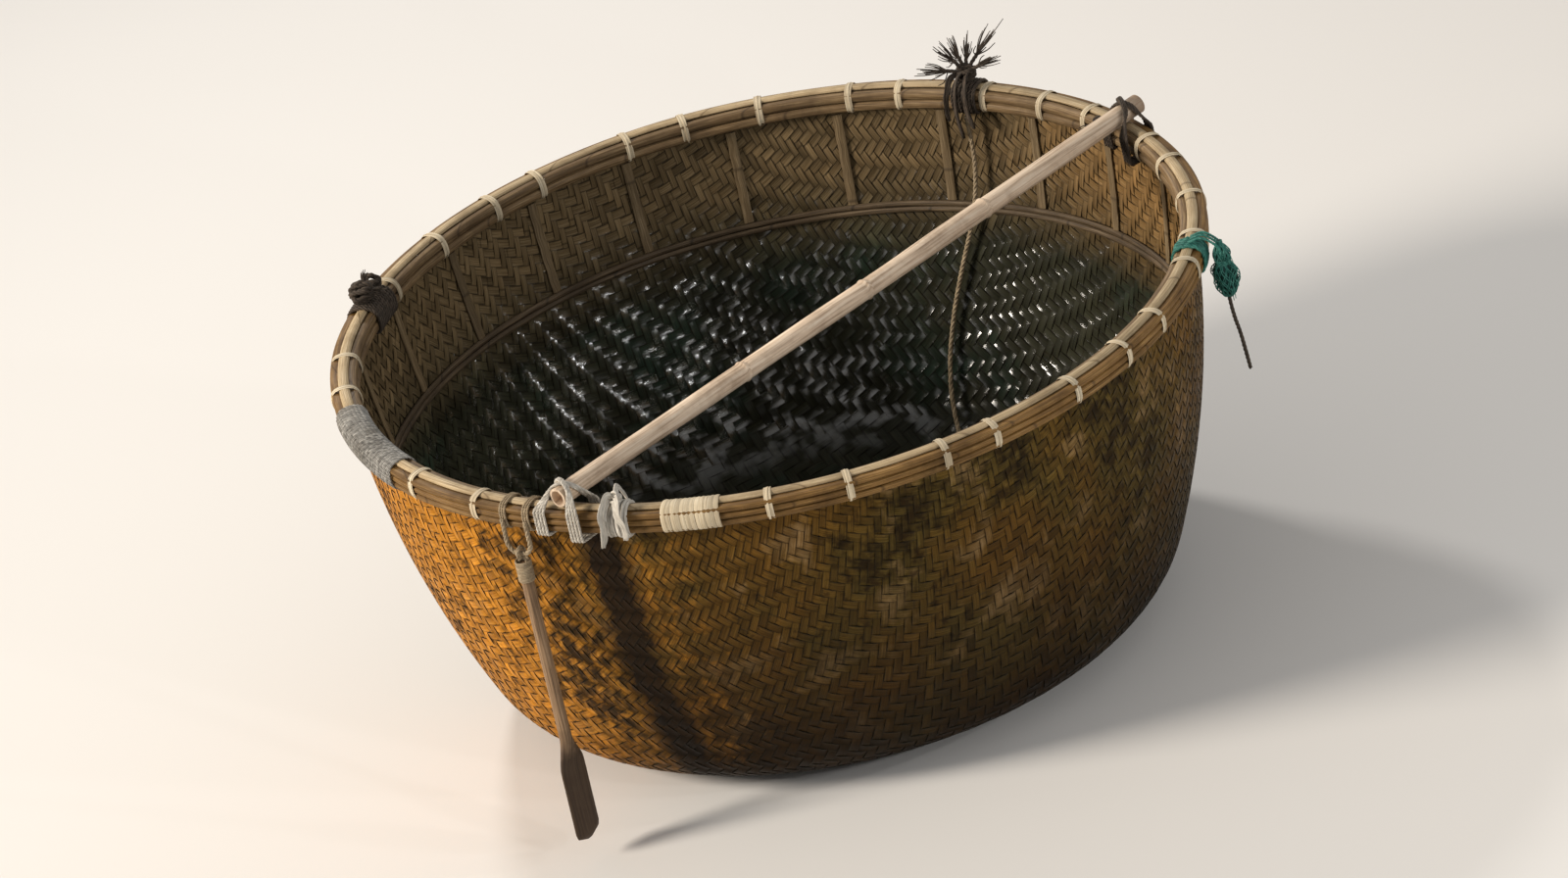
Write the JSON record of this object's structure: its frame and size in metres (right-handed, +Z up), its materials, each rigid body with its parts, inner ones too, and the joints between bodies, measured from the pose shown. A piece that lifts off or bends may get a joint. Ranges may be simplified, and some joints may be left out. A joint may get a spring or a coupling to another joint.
{
  "type": "round woven bamboo basket coracle",
  "caption": "Round basket coracle of woven split bamboo with a hooped and lashed rim, a thwart pole across it, rope ties and a paddle that hangs from a rope becket.",
  "frame": {"origin": "centre of the flat patch of the bottom that the boat stands on", "axes": "+Z up along the bowl's axis, +X to the right and +Y away as seen from the picture's side"},
  "size_m": [1.9326, 1.903, 0.9774],
  "materials": {
    "weave": "resin coated split bamboo weave, worn and uneven",
    "hoop": "weathered split bamboo, dark between the bindings",
    "lath": "weathered split bamboo",
    "cane": "pale split cane",
    "pole": "dry round bamboo, grey brown",
    "paddle": "dark wet hardwood",
    "rope": "old laid rope",
    "dark_rope": "tarred dark rope",
    "pale_rope": "pale worn rope and rag",
    "grey_rope": "grey blue worn cord",
    "net": "green twine net"
  },
  "bodies": {
    "boat": {"woven_bowl": "weave", "outer_hoop": "hoop", "inner_hoop": "hoop", "rim_cap": "lath", "rim_lashings": "cane", "stringer_hoop": "hoop", "wall_battens": "lath", "thwart_pole": "pole", "pole_lashing_far": "dark_rope", "pole_lashing_near": "pale_rope", "grey_wrap": "grey_rope", "light_wrap": "cane", "far_tie": "dark_rope", "left_tie": "dark_rope", "near_tie": "pale_rope", "net_bundle": "net", "becket": "rope", "inside_rope": "rope", "rope_knot": "rope", "net_tail": "dark_rope"},
    "paddle": {"paddle_eye": "rope", "paddle": "paddle"}
  },
  "joints": [
    {"name": "paddle_swing", "type": "hinge", "parent": "boat", "child": "paddle", "pos_m": [-0.62154, -0.72692, 0.735], "axis": [-0.7601, 0.6499, 0], "range_deg": [0, 60]}
  ]
}
